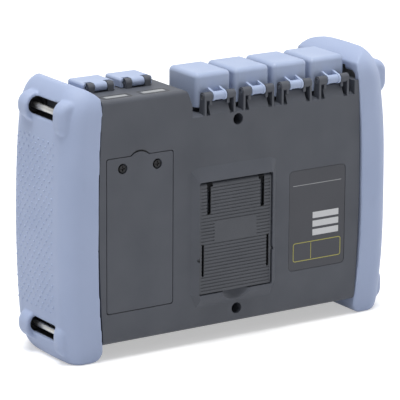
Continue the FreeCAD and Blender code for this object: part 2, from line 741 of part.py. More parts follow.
def data_socket():
    x = dust_centres[0]
    fit = 0.05
    body = block(x - data_half_x + fit, x + data_half_x - fit, socket_y - data_half_y + fit,
                 socket_y + data_half_y - fit, case_top - 14, case_top + 0.2)
    mouth = block(x - 5.9, x + 5.9, socket_y - 4.2, socket_y + 2.6, case_top - 12.0, case_top + 1)
    latch = block(x - 3.0, x + 3.0, socket_y + 2.0, socket_y + 4.4, case_top - 12.0, case_top + 1)
    return body.cut([mouth, latch]).removeSplitter()


def charge_socket():
    x = dust_centres[1]
    body = rod("z", case_top - 12, case_top + 0.2, charge_radius - 0.05, x, socket_y)
    bore = rod("z", case_top - 10, case_top + 1, 3.15, x, socket_y)
    pin = rod("z", case_top - 11, case_top - 1.5, 1.0, x, socket_y)
    return body.cut(bore).fuse(pin)


# ---- front panel and inner modules ----------------------------------------------------------
def display_window():
    return panel("y", front_y + 0.3, front_y + window_thick, (window_x[0] + 0.3, window_x[1] - 0.3),
                 (window_z[0] + 0.3, window_z[1] - 0.3), 2.7)


def display_panel():
    return block(window_x[0] + 2, window_x[1] - 2, front_y + bezel_thick + 0.2,
                 front_y + bezel_thick + 6.0, window_z[0] + 2, window_z[1] - 2)


def key(name):
    x, z = key_limits(name)
    inside = front_y + bezel_thick + key_travel + 0.5
    cap = panel("y", front_y - key_proud, inside, x, z, key_radius)
    cap = cap.makeChamfer(0.5, [e for e in cap.Edges if e.BoundBox.YMax < front_y - key_proud + 0.01])
    reach = key_gap + 0.45
    skirt = panel("y", inside - 1.0, inside, (x[0] - reach, x[1] + reach),
                  (z[0] - reach, z[1] + reach), key_radius)
    return cap.fuse(skirt).removeSplitter()


board_y = -1.0
module_y = board_y + 2.0
keypad_back = front_y + bezel_thick + key_travel + 2.4


def keypad_board():
    return block(key_column_x - 13.5, key_column_x + 13.5, keypad_back + 0.2, keypad_back + 1.8,
                 46.0, 136.0)


def main_board():
    return block(-86.0, 38.0, board_y, board_y + 1.6, 20.0, 134.0)


def optical_module():
    body = block(-84.0, 20.0, module_y, module_y + 12.0, 104.0, 131.0)
    return round_edges(body, 2.0, lambda e: e.BoundBox.ZMin > 130.9)


def fibre_tray():
    """Oval spool tray that stores the launch fibre behind the adapters."""
    outer = panel("y", module_y, module_y + 8.0, (-84.0, -36.0), (26.0, 98.0), 20.0)
    inner = panel("y", module_y + 1.4, module_y + 9.0, (-82.4, -37.6), (27.6, 96.4), 18.4)
    core = panel("y", module_y, module_y + 8.0, (-70.0, -50.0), (46.0, 78.0), 9.0)
    return outer.cut(inner).fuse(core).removeSplitter()


# ---- build ----------------------------------------------------------------------------------
save("rear_case", rear_case())
save("front_case", front_case())
save("case_gasket", case_gasket())
right = bumper()
save("right_bumper", right)
save("left_bumper", mirror_x(right))
save("strap_bars", strap_bars())
for number, middle in enumerate(port_centres, 1):
    save("port_cover_%d" % number, port_cover(middle))
    save("optical_adapter_%d" % number, optical_adapter(middle))
save("port_hinge_pins", port_hinge_pins())
for number, middle in enumerate(dust_centres, 1):
    save("dust_cover_%d" % number, dust_cover(middle))
save("dust_hinge_pins", dust_hinge_pins())
save("data_socket", data_socket())
save("charge_socket", charge_socket())
save("kickstand", kickstand())
save("kickstand_pin", kickstand_pin())
save("battery_door", battery_door())
save("battery_door_screws", battery_door_screws())
save("battery_pack", battery_pack())
save("case_screws", case_screws())
save("rating_plate", rating_plate())
save("display_window", display_window())
save("display_panel", display_panel())
for key_name in keys:
    save(key_name, key(key_name))
save("keypad_board", keypad_board())
save("main_board", main_board())
save("optical_module", optical_module())
save("fibre_tray", fibre_tray())
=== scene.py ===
"""Dressed model of a handheld optical time domain reflectometer, seen from behind.

Every solid of the assembly keeps its place. The case, the covers and the door get softened
edges, the bumpers a smooth skin with raised grip dots, and every piece a finish of its own.
Lengths are in metres, and a number multiplied by MM is in millimetres.
"""
from math import cos, pi, radians, sin

import bmesh
import bpy
import numpy as np
from mathutils import Matrix, Vector
from mathutils.bvhtree import BVHTree


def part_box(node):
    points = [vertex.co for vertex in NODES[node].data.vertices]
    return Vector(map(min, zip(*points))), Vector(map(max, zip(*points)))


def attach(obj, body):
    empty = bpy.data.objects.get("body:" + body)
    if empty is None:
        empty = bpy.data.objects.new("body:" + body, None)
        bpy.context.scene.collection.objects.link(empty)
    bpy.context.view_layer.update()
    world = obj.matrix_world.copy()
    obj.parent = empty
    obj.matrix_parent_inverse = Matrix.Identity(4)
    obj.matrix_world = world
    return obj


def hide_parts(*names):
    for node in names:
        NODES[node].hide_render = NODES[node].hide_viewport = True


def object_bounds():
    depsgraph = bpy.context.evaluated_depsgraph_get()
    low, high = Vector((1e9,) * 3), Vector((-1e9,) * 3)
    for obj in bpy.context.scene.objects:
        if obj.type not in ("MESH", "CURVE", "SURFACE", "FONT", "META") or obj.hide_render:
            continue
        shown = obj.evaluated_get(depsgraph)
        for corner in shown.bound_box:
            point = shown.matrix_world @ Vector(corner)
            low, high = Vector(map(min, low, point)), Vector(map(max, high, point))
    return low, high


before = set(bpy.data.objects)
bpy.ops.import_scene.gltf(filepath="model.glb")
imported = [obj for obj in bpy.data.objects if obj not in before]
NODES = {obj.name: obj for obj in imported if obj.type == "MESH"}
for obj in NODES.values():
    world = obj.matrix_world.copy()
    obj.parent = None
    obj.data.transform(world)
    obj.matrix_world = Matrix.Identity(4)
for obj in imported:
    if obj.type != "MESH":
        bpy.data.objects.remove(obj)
cad_low, cad_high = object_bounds()

MM = 0.001


# ---- colours (linear) -----------------------------------------------------------------------
WHITE = (1.0, 1.0, 1.0, 1.0)
CASE_GREY = (0.066, 0.073, 0.091)
CASE_DARK = (0.057, 0.063, 0.079)
RUBBER_BLUE = (0.372, 0.442, 0.625)
RUBBER_SHADE = (0.35, 0.42, 0.6)
COVER_BLUE = (0.38, 0.45, 0.62)
COVER_SHADE = (0.335, 0.405, 0.575)
STAND_GREY = (0.059, 0.064, 0.078)
STAND_DARK = (0.054, 0.059, 0.071)
STEEL = (0.5, 0.5, 0.49)
BLACK_OXIDE = (0.022, 0.022, 0.024)
PRINT_PALE = (0.62, 0.63, 0.65)
PRINT_LINE = (0.33, 0.34, 0.35)
PRINT_OLIVE = (0.38, 0.36, 0.08)
LABEL_GREY = (0.3, 0.31, 0.32)
LABEL_DARK = (0.014, 0.015, 0.017)
WINDOW_BLACK = (0.016, 0.018, 0.021)
WINDOW_WIPED = (0.022, 0.025, 0.029)
FLOOR_PALE = (0.72, 0.72, 0.73)


def shaded(colour, share):
    """The colour with this share of its light."""
    return tuple(c * share for c in colour)


# ---- node helpers ---------------------------------------------------------------------------
class Tree:
    """Short hand for building the nodes of a material or a world."""

    def __init__(self, owner):
        self.owner = owner
        owner.use_nodes = True
        self.tree = owner.node_tree
        self.tree.nodes.clear()
        self.places = None

    @property
    def coords(self):
        """The piece's own coordinates, with one node for the whole tree."""
        if self.places is None:
            self.places = self.add("ShaderNodeTexCoord").outputs["Object"]
        return self.places

    def add(self, kind, **values):
        node = self.tree.nodes.new(kind)
        for key, value in values.items():
            setattr(node, key, value)
        return node

    def link(self, source, target):
        self.tree.links.new(source, target)

    def noise(self, scale, detail=3.0, rough=0.55, stretch=None):
        node = self.add("ShaderNodeTexNoise")
        node.inputs["Scale"].default_value = scale
        node.inputs["Detail"].default_value = detail
        node.inputs["Roughness"].default_value = rough
        source = self.coords
        if stretch:
            mapping = self.add("ShaderNodeMapping")
            mapping.inputs["Scale"].default_value = stretch
            self.link(source, mapping.inputs["Vector"])
            source = mapping.outputs["Vector"]
        self.link(source, node.inputs["Vector"])
        return node.outputs["Fac"]

    def spread(self, fac, low, high, to_low=0.0, to_high=1.0):
        """Stretches low..high to the new range and holds it there."""
        node = self.add("ShaderNodeMapRange", clamp=True)
        for key, value in (("From Min", low), ("From Max", high),
                           ("To Min", to_low), ("To Max", to_high)):
            node.inputs[key].default_value = value
        self.link(fac, node.inputs["Value"])
        return node.outputs["Result"]

    def mix(self, fac, first, second):
        node = self.add("ShaderNodeMix", data_type="RGBA")
        self.link(fac, node.inputs[0])
        for socket, value in ((node.inputs[6], first), (node.inputs[7], second)):
            if isinstance(value, tuple):
                socket.default_value = (*value, 1.0)
            else:
                self.link(value, socket)
        return node.outputs[2]

    def maths(self, operation, first, second):
        node = self.add("ShaderNodeMath", operation=operation)
        for socket, value in zip(node.inputs, (first, second)):
            if isinstance(value, (int, float)):
                socket.default_value = value
            else:
                self.link(value, socket)
        return node.outputs[0]

    def bump(self, height, distance, strength, before=None):
        node = self.add("ShaderNodeBump")
        node.inputs["Distance"].default_value = distance
        node.inputs["Strength"].default_value = strength
        self.link(height, node.inputs["Height"])
        if before is not None:
            self.link(before, node.inputs["Normal"])
        return node.outputs["Normal"]

    def finish(self, colour, roughness, normal, **constants):
        """Ends a material; the constants are set on the shader's own sockets."""
        shader = self.add("ShaderNodeBsdfPrincipled")
        for key, value in constants.items():
            shader.inputs[key.replace("_", " ")].default_value = value
        self.link(colour, shader.inputs["Base Color"])
        self.link(roughness, shader.inputs["Roughness"])
        self.link(normal, shader.inputs["Normal"])
        out = self.add("ShaderNodeOutputMaterial")
        self.link(shader.outputs[0], out.inputs["Surface"])
        return self.owner


def material_tree(name):
    return Tree(bpy.data.materials.new(name))


def within(t, low, high, blend):
    """Mask that is 1 inside a box given in object coordinates."""
    parts = t.add("ShaderNodeSeparateXYZ")
    t.link(t.coords, parts.inputs[0])
    mask = 1.0
    for axis, start, end in zip("XYZ", low, high):
        place = parts.outputs[axis]
        mask = t.maths("MULTIPLY", mask, t.spread(place, start - blend, start + blend))
        mask = t.maths("MULTIPLY", mask, t.spread(place, end - blend, end + blend, 1.0, 0.0))
    return mask


# ---- finishes -------------------------------------------------------------------------------
PAINTED_SHADE_EDGE = 0.08 * MM     # over which the painted shade of a recess fades
# share of the dark tone left in a recess under painted shade
PAINTED_SHADE_SHARE = 0.1
WORN_GAIN, WORN_LIFT = 1.25, 0.015


def moulded(name, light, dark, rough=(0.5, 0.62), grain=1500.0, grain_depth=0.04 * MM,
            specular=0.5, painted_shade_boxes=()):
    """Moulded plastic: spark-eroded grain, faint flow marks, rubbed patches and fine scuffs.

    Inside the boxes of the last argument, in object coordinates, the colour is darkened as painted
    shade."""
    t = material_tree(name)
    flow = t.spread(t.noise(scale=28.0, detail=4.0), 0.32, 0.68)
    colour = t.mix(flow, light, dark)
    streaks = t.noise(scale=90.0, detail=6.0, rough=0.7, stretch=(1.0, 1.0, 6.0))
    worn = tuple(min(1.0, c * WORN_GAIN + WORN_LIFT) for c in light)
    colour = t.mix(t.maths("MULTIPLY", t.spread(streaks, 0.66, 0.8), 0.35), colour, worn)
    # painted shade: inside each box the colour is pulled towards near black
    for low, high in painted_shade_boxes:
        colour = t.mix(within(t, low, high, PAINTED_SHADE_EDGE), colour, shaded(dark, PAINTED_SHADE_SHARE))
    patches = t.noise(scale=55.0, detail=5.0, rough=0.6)
    roughness = t.spread(patches, 0.3, 0.7, *rough)
    normal = t.bump(t.noise(scale=grain, detail=2.0, rough=0.6), grain_depth, 0.55)
    normal = t.bump(t.noise(scale=180.0), 0.06 * MM, 0.25, normal)
    return t.finish(colour, roughness, normal, Specular_IOR_Level=specular)


def rubber(name, light, dark):
    """Soft overmould: matt skin, handling marks and a slight bloom."""
    t = material_tree(name)
    cloud = t.spread(t.noise(scale=22.0, detail=5.0, rough=0.6), 0.3, 0.7)
    colour = t.mix(cloud, light, dark)
    strokes = t.noise(scale=60.0, detail=6.0, rough=0.65, stretch=(1.0, 2.5, 0.6))
    smear = t.maths("MULTIPLY", t.spread(strokes, 0.62, 0.82), 0.3)
    colour = t.mix(smear, colour, shaded(dark, 0.82))
    patches = t.noise(scale=45.0, detail=5.0, rough=0.6)
    roughness = t.spread(patches, 0.3, 0.7, 0.52, 0.68)
    normal = t.bump(t.noise(scale=1200.0, detail=2.0), 0.05 * MM, 0.5)
    normal = t.bump(t.noise(scale=120.0), 0.12 * MM, 0.2, normal)
    return t.finish(colour, roughness, normal, Specular_IOR_Level=0.45, Sheen_Weight=0.06,
                    Sheen_Roughness=0.5)


def metal(name, colour, rough=(0.25, 0.4), stretch=(1.0, 40.0, 1.0), metallic=1.0):
    """Ground or drawn metal with fine lines and dull patches."""
    t = material_tree(name)
    lines = t.noise(scale=260.0, detail=4.0, rough=0.6, stretch=stretch)
    dull = t.spread(t.noise(scale=140.0, detail=4.0), 0.35, 0.7)
    tint = t.mix(dull, colour, shaded(colour, 0.72))
    roughness = t.spread(t.noise(scale=200.0, detail=4.0), 0.3, 0.7, *rough)
    return t.finish(tint, roughness, t.bump(lines, 0.03 * MM, 0.35), Metallic=metallic)


def ink(name, colour):
    """Screen-printed ink, slightly uneven, with a few missing specks."""
    t = material_tree(name)
    specks = t.maths("MULTIPLY", t.spread(t.noise(scale=900.0), 0.62, 0.72), 0.5)
    tint = t.mix(specks, colour, shaded(colour, 0.7))
    roughness = t.spread(t.noise(scale=400.0), 0.3, 0.7, 0.45, 0.6)
    return t.finish(tint, roughness, t.bump(t.noise(scale=1400.0), 0.02 * MM, 0.3))


def board(name, colour, trace):
    """Solder-masked board with copper runs showing through."""
    t = material_tree(name)
    cells = t.add("ShaderNodeTexBrick")
    cells.inputs["Scale"].default_value = 90.0
    cells.inputs["Mortar Size"].default_value = 0.06
    t.link(t.coords, cells.inputs["Vector"])
    runs = cells.outputs["Fac"]
    roughness = t.spread(t.noise(scale=120.0), 0.3, 0.7, 0.3, 0.45)
    return t.finish(t.mix(runs, colour, trace), roughness, t.bump(runs, 0.04 * MM, 0.5))


def glass_window(name):
    """Hard-coated black-backed window with faint wipe marks."""
    t = material_tree(name)
    wipes = t.noise(scale=14.0, detail=6.0, rough=0.6, stretch=(1.0, 1.0, 4.0))
    tint = t.mix(t.spread(wipes, 0.4, 0.75), WINDOW_BLACK, WINDOW_WIPED)
    prints = t.noise(scale=30.0, detail=6.0, rough=0.7, stretch=(1.0, 1.0, 3.0))
    roughness = t.spread(prints, 0.35, 0.75, 0.05, 0.17)
    normal = t.bump(t.noise(scale=900.0), 0.004 * MM, 0.2)
    return t.finish(tint, roughness, normal, Specular_IOR_Level=0.3)


# nail recess above the tab of the battery door, darkened with painted shade
NAIL_INSET = 12 * MM       # from each side of the door
NAIL_HALF = 4 * MM         # above and below the door's top
NAIL_DEPTH = 3 * MM
NAIL_SKIN = 0.25 * MM      # below the rear face, where the painted shade begins
door_low, door_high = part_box("battery_door")
nail_recess = ((door_low[0] + NAIL_INSET, door_high[1] - NAIL_DEPTH, door_high[2] - NAIL_HALF),
               (door_high[0] - NAIL_INSET, door_high[1] - NAIL_SKIN, door_high[2] + NAIL_HALF))

# slots of the kickstand, darkened with painted shade, in millimetres: distance of the slot from
# the stand's middle, half its width, its foot and head above the lower edge, and the depth at
# which its floor may begin
ARM_SLOT = (19.3, 1.5, 48.6, 69.5, 0.15)
ARM_SLOT_HEAD = (18.0, 1.5, 66.0, 69.5, 0.3)
CATCH_SLOT = (23.4, 0.9, 10.5, 31.0, 0.15)
stand_low, stand_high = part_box("kickstand")
stand_middle = (stand_low[0] + stand_high[0]) / 2


def stand_slot(side, offset, half_width, foot, head, depth):
    """Box below the face of the kickstand, placed from its middle and its lower edge."""
    middle = stand_middle + side * offset * MM
    return ((middle - half_width * MM, stand_low[1], stand_low[2] + foot * MM),
            (middle + half_width * MM, stand_high[1] - depth * MM, stand_low[2] + head * MM))


# boxes in which the kickstand's slots get painted shade
stand_slots = [stand_slot(side, *measures) for measures in (ARM_SLOT, ARM_SLOT_HEAD, CATCH_SLOT)
               for side in (-1, 1)]

case_plastic = moulded("case_plastic", CASE_GREY, CASE_DARK)
# the rear case carries painted shade in the nail recess above the door's tab
rear_plastic = moulded("rear_plastic", CASE_GREY, CASE_DARK, painted_shade_boxes=[nail_recess])
cover_plastic = moulded("cover_plastic", COVER_BLUE, COVER_SHADE, rough=(0.42, 0.55),
                        grain=1700.0, grain_depth=0.02 * MM)
# the kickstand's plastic is darkened with painted shade in its slots
stand_plastic = moulded("stand_plastic", STAND_GREY, STAND_DARK, rough=(0.45, 0.58),
                        painted_shade_boxes=stand_slots)
# near-black painted shade for the floors of the kickstand's slots
kickstand_slot_shade = moulded("kickstand_slot_shade", light=(0.012, 0.013, 0.015), dark=(0.01, 0.011, 0.012),
                       specular=0.05)
# near-black painted shade for the insides of the bumpers' slots and cups
bumper_slot_shade = moulded("bumper_slot_shade", light=(0.012, 0.012, 0.014), dark=(0.009, 0.009, 0.01))
plate_film = moulded("plate_film", light=(0.037, 0.04, 0.052), dark=(0.032, 0.035, 0.046),
                     rough=(0.38, 0.46), grain=2200.0, grain_depth=0.01 * MM)
battery_wrap = moulded("battery_wrap", light=(0.05, 0.05, 0.056), dark=(0.042, 0.042, 0.047))
adapter_green = moulded("adapter_green", light=(0.05, 0.3, 0.14), dark=(0.04, 0.25, 0.115),
                        rough=(0.35, 0.45))
tray_plastic = moulded("tray_plastic", light=(0.5, 0.5, 0.48), dark=(0.45, 0.45, 0.43))
bumper_rubber = rubber("bumper_rubber", RUBBER_BLUE, RUBBER_SHADE)
key_rubber = rubber("key_rubber", light=(0.2, 0.22, 0.25), dark=(0.17, 0.19, 0.22))
seal_rubber = rubber("seal_rubber", light=(0.03, 0.03, 0.03), dark=(0.022, 0.022, 0.022))
pin_steel = metal("pin_steel", STEEL)
screw_steel = metal("screw_black_oxide", BLACK_OXIDE, rough=(0.35, 0.5),
                    stretch=(30.0, 1.0, 1.0), metallic=0.6)
socket_nickel = metal("socket_nickel", (0.62, 0.61, 0.58), rough=(0.22, 0.36))
module_cast = metal("module_cast", (0.6, 0.6, 0.61), rough=(0.4, 0.55), stretch=(1.0, 1.0, 1.0))
board_green = board("board_green", colour=(0.025, 0.14, 0.06), trace=(0.06, 0.22, 0.1))
screen_window = glass_window("screen_window")
print_pale = ink("print_pale", PRINT_PALE)
print_line = ink("print_line", PRINT_LINE)
print_olive = ink("print_olive", PRINT_OLIVE)
label_grey = ink("label_grey", LABEL_GREY)
label_dark = ink("label_dark", LABEL_DARK)


# ---- mesh helpers ---------------------------------------------------------------------------
JOIN_DISTANCE = 0.002 * MM
FLAT_ANGLE = radians(0.4)      # below which two faces are one flat
EDGE_ANGLE = radians(14.0)     # above which an edge is broken
SHARP_ANGLE = radians(34)      # above which an edge still shades as one
EDGE_SEGMENTS = 2


def link(obj):
    bpy.context.scene.collection.objects.link(obj)
    return obj


def helper(node, mesh):
    """Object that carries a mesh through its modifiers."""
    return link(bpy.data.objects.new(node + "_helper", mesh))


def new_piece(name, mesh, material, body):
    obj = link(bpy.data.objects.new(name, mesh))
    mesh.materials.clear()
    mesh.materials.append(material)
    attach(obj, body)
    return obj


def paint_shade_on_faces(node, material, boxes):
    """Gives the faces of a node that lie inside the boxes, in object coordinates, a dark material
    as painted shade.
    """
    mesh = NODES[node].data
    mesh.materials.append(material)
    for face in mesh.polygons:
        if any(all(a < c < b for a, c, b in zip(low, face.center, high)) for low, high in boxes):
            face.material_index = len(mesh.materials) - 1


def merged_copy(node):
    """A node's mesh with its loose triangles joined."""
    bm = bmesh.new()
    bm.from_mesh(NODES[node].data)
    bmesh.ops.remove_doubles(bm, verts=bm.verts, dist=JOIN_DISTANCE)
    mesh = bpy.data.meshes.new(node + "_copy")
    bm.to_mesh(mesh)
    bm.free()
    return mesh


def evaluated(obj, name):
    """The object's mesh with its modifiers applied; the helper object is removed."""
    deps = bpy.context.evaluated_depsgraph_get()
    mesh = bpy.data.meshes.new_from_object(obj.evaluated_get(deps), depsgraph=deps)
    mesh.name = name
    bpy.data.objects.remove(obj)
    return mesh


def softened(node, width):
    """A node's mesh with its sharp edges broken by a small radius, as moulding leaves them."""
    mesh = merged_copy(node)
    bm = bmesh.new()
    bm.from_mesh(mesh)
    bmesh.ops.dissolve_limit(bm, angle_limit=FLAT_ANGLE, verts=bm.verts, edges=bm.edges)
    bm.to_mesh(mesh)
    bm.free()
    obj = helper(node, mesh)
    bevel = obj.modifiers.new("edge", "BEVEL")
    bevel.width = width
    bevel.segments = EDGE_SEGMENTS
    bevel.limit_method = "ANGLE"
    bevel.angle_limit = EDGE_ANGLE
    bevel.use_clamp_overlap = True
    bevel.miter_outer = "MITER_ARC"
    result = evaluated(obj, node + "_bevelled")
    result.shade_smooth()
    result.set_sharp_from_angle(angle=SHARP_ANGLE)
    obj = helper(node, result)
    even = obj.modifiers.new("even", "WEIGHTED_NORMAL")
    even.mode = "FACE_AREA_WITH_ANGLE"
    even.weight = 100
    even.keep_sharp = True
    return evaluated(obj, node + "_finish")


def dress(node, material, body="case", width=0.25 * MM):
    """Puts the finished copy of a node in its place."""
    piece = new_piece(node + "_finish", softened(node, width), material, body)
    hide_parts(node)


def paint(node, material):
    """Gives a node that keeps its own mesh a finished material."""
    slots = NODES[node].material_slots
    for index in range(len(slots)):
        slots[index].material = material
    if not len(slots):
        NODES[node].data.materials.append(material)


# ---- bumpers --------------------------------------------------------------------------------
BAR_RADIUS = 2.0 * MM
SLOT_SETBACK = 5.5 * MM        # from the end of a bar to the end of its slot
SLOT_HALF = 5.4 * MM
SLOT_LIP = 2.2 * MM            # rubber left without painted shade at the mouth of a slot
MOUTH_REACH = 3.0 * MM         # from the bar's axis to the mouth
FRONT_CUP_RADIUS = 5.2 * MM
REAR_CUP_SHADE_RADIUS = 3.7 * MM
SLOT_SHADE_MARGIN = 0.45 * MM
SLOT_SHADE_OVERLAP = 0.5 * MM      # of the painted shade past the ends of a slot
CUP_OVERLAP = 0.6 * MM         # of the painted shade past the ends of a cup
CUP_RIM_STEP = 1.2 * MM        # by which the outer side of a front cup stays free of painted shade
CUP_RIM_REACH = 1.0 * MM

SKIN_VOXEL = 0.8 * MM
SEAT_REACH = 97.5 * MM         # inside this the skin keeps the shape of the seat on the case
EAR_REACH = 12 * MM            # above and below a bar, the crisp part of the bumper
END_REACH = 26 * MM            # from the middle of the slot to the front and rear edges
BAR_REACH = 8 * MM             # from the bar's axis to the inner flange
BLEND = 4 * MM
EAR_BLEND = 5 * MM
MELT_ROUNDS = 60
POLISH_ROUNDS = 4
POLISH_BASE, POLISH_GAIN = 0.35, 0.5
SMOOTH_STEP, SWELL_STEP = 0.6, -0.615

bars_low, bars_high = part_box("strap_bars")
BAR_X = bars_high[0] - BAR_RADIUS
BAR_HEIGHTS = (bars_high[2] - BAR_RADIUS, bars_low[2] + BAR_RADIUS)
SLOT_FRONT = bars_low[1] + SLOT_SETBACK
SLOT_REAR = bars_high[1] - SLOT_SETBACK


def flat_values(collection, key, kind=float):
    """A property of every item of a mesh as one array with a row for each item."""
    width = 2 if key == "vertices" else 3
    values = np.empty(len(collection) * width, dtype=kind)
    collection.foreach_get(key, values)
    return values.reshape(-1, width)


def smooth_points(points, edges, weights, rounds):
    """Taubin smoothing: rounds creases without shrinking the form."""
    count = len(points)
    a, b = edges[:, 0], edges[:, 1]
    degree = np.bincount(a, minlength=count) + np.bincount(b, minlength=count)
    degree = np.maximum(degree, 1)
    for step in range(rounds * 2):
        gain = SMOOTH_STEP if step % 2 == 0 else SWELL_STEP
        shift = np.empty_like(points)
        for axis in range(3):
            total = np.bincount(a, points[b, axis], count)
            total = total + np.bincount(b, points[a, axis], count)
            shift[:, axis] = total / degree - points[:, axis]
        points = points + gain * weights[:, None] * shift
    return points


def eased(distance, start, width):
    """0 up to start, then rising to 1 over the width."""
    return np.clip((distance - start) / width, 0.0, 1.0)


def softness(points):
    """How far each point may move: little at the seat, around the ears and in the slots."""
    across = np.abs(points[:, 0])
    from_bars = np.min([np.abs(points[:, 2] - z) for z in BAR_HEIGHTS], axis=0)
    from_middle = np.abs(points[:, 1] - (SLOT_FRONT + SLOT_REAR) / 2)
    free = np.maximum.reduce([eased(from_bars, EAR_REACH, EAR_BLEND),
                              eased(from_middle, END_REACH, BLEND),
                              eased(-across, -(BAR_X - BAR_REACH), BLEND)])
    return eased(across, SEAT_REACH, BLEND) * free


def slot_shade_mask(points):
    """True where a point of a bumper lies inside a carrying slot or the cup around a bar's end,
    the places of painted shade.
    """
    across = np.abs(points[:, 0])
    along = points[:, 1]
    inside = np.zeros(len(points), dtype=bool)
    for height in BAR_HEIGHTS:
        rise = points[:, 2] - height
        away = np.hypot(across - BAR_X, rise)
        slot = (np.abs(rise) < SLOT_HALF + SLOT_SHADE_MARGIN) & (along > SLOT_FRONT - SLOT_SHADE_OVERLAP)
        slot &= (along < SLOT_REAR + SLOT_SHADE_OVERLAP) & (across < BAR_X + MOUTH_REACH - SLOT_LIP)
        rim = np.where(across > BAR_X + CUP_RIM_REACH, CUP_RIM_STEP, -CUP_OVERLAP)
        front = (away < FRONT_CUP_RADIUS + SLOT_SHADE_MARGIN) & (along < SLOT_FRONT - rim)
        front &= along > bars_low[1] - CUP_OVERLAP
        rear = (away < REAR_CUP_SHADE_RADIUS) & (along > SLOT_REAR - CUP_OVERLAP)
        rear &= along < bars_high[1] + CUP_OVERLAP
        inside |= slot | front | rear
    return inside


def bumper_skin(node):
    """Soft version of a bumper: the corners melt into each other, ears and lips stay crisp."""
    obj = helper(node, merged_copy(node))
    remesh = obj.modifiers.new("skin", "REMESH")
    remesh.mode = "VOXEL"
    remesh.voxel_size = SKIN_VOXEL
    mesh = evaluated(obj, node + "_skin")
    points = flat_values(mesh.vertices, "co")
    edges = flat_values(mesh.edges, "vertices", np.int64)
    weights = softness(points)
    points = smooth_points(points, edges, weights, MELT_ROUNDS)
    points = smooth_points(points, edges, POLISH_BASE + POLISH_GAIN * weights, POLISH_ROUNDS)
    points = np.clip(points, np.array(cad_low)[None, :], np.array(cad_high)[None, :])
    mesh.vertices.foreach_set("co", points.ravel())
    mesh.shade_smooth()
    mesh.update()
    piece = new_piece(node + "_skin", mesh, bumper_rubber, "case")
    # painted shade: the faces inside the slots and cups get a near-black material
    mesh.materials.append(bumper_slot_shade)
    inside = slot_shade_mask(flat_values(mesh.polygons, "center"))
    mesh.polygons.foreach_set("material_index", inside.astype(np.int32))
    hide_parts(node)
    return piece


left_skin = bumper_skin("left_bumper")
right_skin = bumper_skin("right_bumper")


# ---- grip dots ------------------------------------------------------------------------------
DOT_RADIUS = 0.8 * MM
DOT_HEIGHT = 0.5 * MM
DOT_SEGMENTS = 12
DOT_RINGS = 8
GRIP_ROW = 3.3 * MM
GRIP_STEP = 5.6 * MM
GRIP_FOOT = 31.0 * MM
GRIP_HEAD = 134.0 * MM
GRIP_FRONT = -24.6 * MM
GRIP_REAR = 18.0 * MM
GRIP_START = 0.2               # outside either bumper, from where its face is looked for


def grip_points(skin, side):
    """Points on the outer face of a bumper, in staggered rows, with the surface's normals."""
    tree = BVHTree.FromObject(skin, bpy.context.evaluated_depsgraph_get())
    spots = []
    normals = []
    rows = int((GRIP_HEAD - GRIP_FOOT) / GRIP_ROW)
    for row in range(rows + 1):
        y = GRIP_FRONT + (row % 2) * GRIP_STEP / 2
        while y < GRIP_REAR:
            start = Vector((side * GRIP_START, y, GRIP_FOOT + row * GRIP_ROW))
            place, normal = tree.ray_cast(start, Vector((-side, 0, 0)))[:2]
            if place is not None:
                spots.append(place)
                normals.append(normal)
            y += GRIP_STEP
    return spots, normals


def dome_group():
    """Geometry nodes: a low dome on every point, turned to the point's own normal."""
    group = bpy.data.node_groups.new("grip_domes", "GeometryNodeTree")
    socket = {}

    def face(name, kind, value=None, side="INPUT"):
        item = group.interface.new_socket(name, in_out=side, socket_type="NodeSocket" + kind)
        if value is not None:
            item.default_value = value
        socket[name] = item.identifier

    face("Geometry", "Geometry")
    face("Radius", "Float", DOT_RADIUS)
    face("Height", "Float", DOT_HEIGHT)
    face("Material", "Material")
    face("Geometry", "Geometry", side="OUTPUT")
    add = group.nodes.new
    join = group.links.new
    source = add("NodeGroupInput")
    ball = add("GeometryNodeMeshUVSphere")
    ball.inputs["Segments"].default_value = DOT_SEGMENTS
    ball.inputs["Rings"].default_value = DOT_RINGS
    ball.inputs["Radius"].default_value = 1.0
    size = add("ShaderNodeCombineXYZ")
    join(source.outputs["Radius"], size.inputs["X"])
    join(source.outputs["Radius"], size.inputs["Y"])
    join(source.outputs["Height"], size.inputs["Z"])
    normal = add("GeometryNodeInputNamedAttribute")
    normal.data_type = "FLOAT_VECTOR"
    normal.inputs["Name"].default_value = "outward"
    align = add("FunctionNodeAlignRotationToVector")
    align.axis = "Z"
    join(normal.outputs["Attribute"], align.inputs["Vector"])
    to_points = add("GeometryNodeMeshToPoints")
    join(source.outputs["Geometry"], to_points.inputs["Mesh"])
    place = add("GeometryNodeInstanceOnPoints")
    join(to_points.outputs["Points"], place.inputs["Points"])
    join(ball.outputs["Mesh"], place.inputs["Instance"])
    join(align.outputs["Rotation"], place.inputs["Rotation"])
    join(size.outputs["Vector"], place.inputs["Scale"])
    real = add("GeometryNodeRealizeInstances")
    join(place.outputs["Instances"], real.inputs["Geometry"])
    smooth = add("GeometryNodeSetShadeSmooth")
    join(real.outputs["Geometry"], smooth.inputs["Geometry"])
    coat = add("GeometryNodeSetMaterial")
    join(smooth.outputs["Geometry"], coat.inputs["Geometry"])
    join(source.outputs["Material"], coat.inputs["Material"])
    out = add("NodeGroupOutput")
    join(coat.outputs["Geometry"], out.inputs["Geometry"])
    return group, socket["Material"]


domes, dome_material = dome_group()


def grip_field(skin, side, name):
    """One mesh with all the grip dots of a bumper."""
    spots, normals = grip_points(skin, side)
    mesh = bpy.data.meshes.new(name + "_points")
    mesh.from_pydata([tuple(spot) for spot in spots], [], [])
    outward = mesh.attributes.new("outward", "FLOAT_VECTOR", "POINT")
    outward.data.foreach_set("vector", [value for normal in normals for value in normal])
    obj = helper(name, mesh)
    scatter = obj.modifiers.new("domes", "NODES")
    scatter.node_group = domes
    scatter[dome_material] = bumper_rubber
    new_piece(name, evaluated(obj, name), bumper_rubber, "case")


grip_field(left_skin, -1, "left_grip_dots")
grip_field(right_skin, 1, "right_grip_dots")

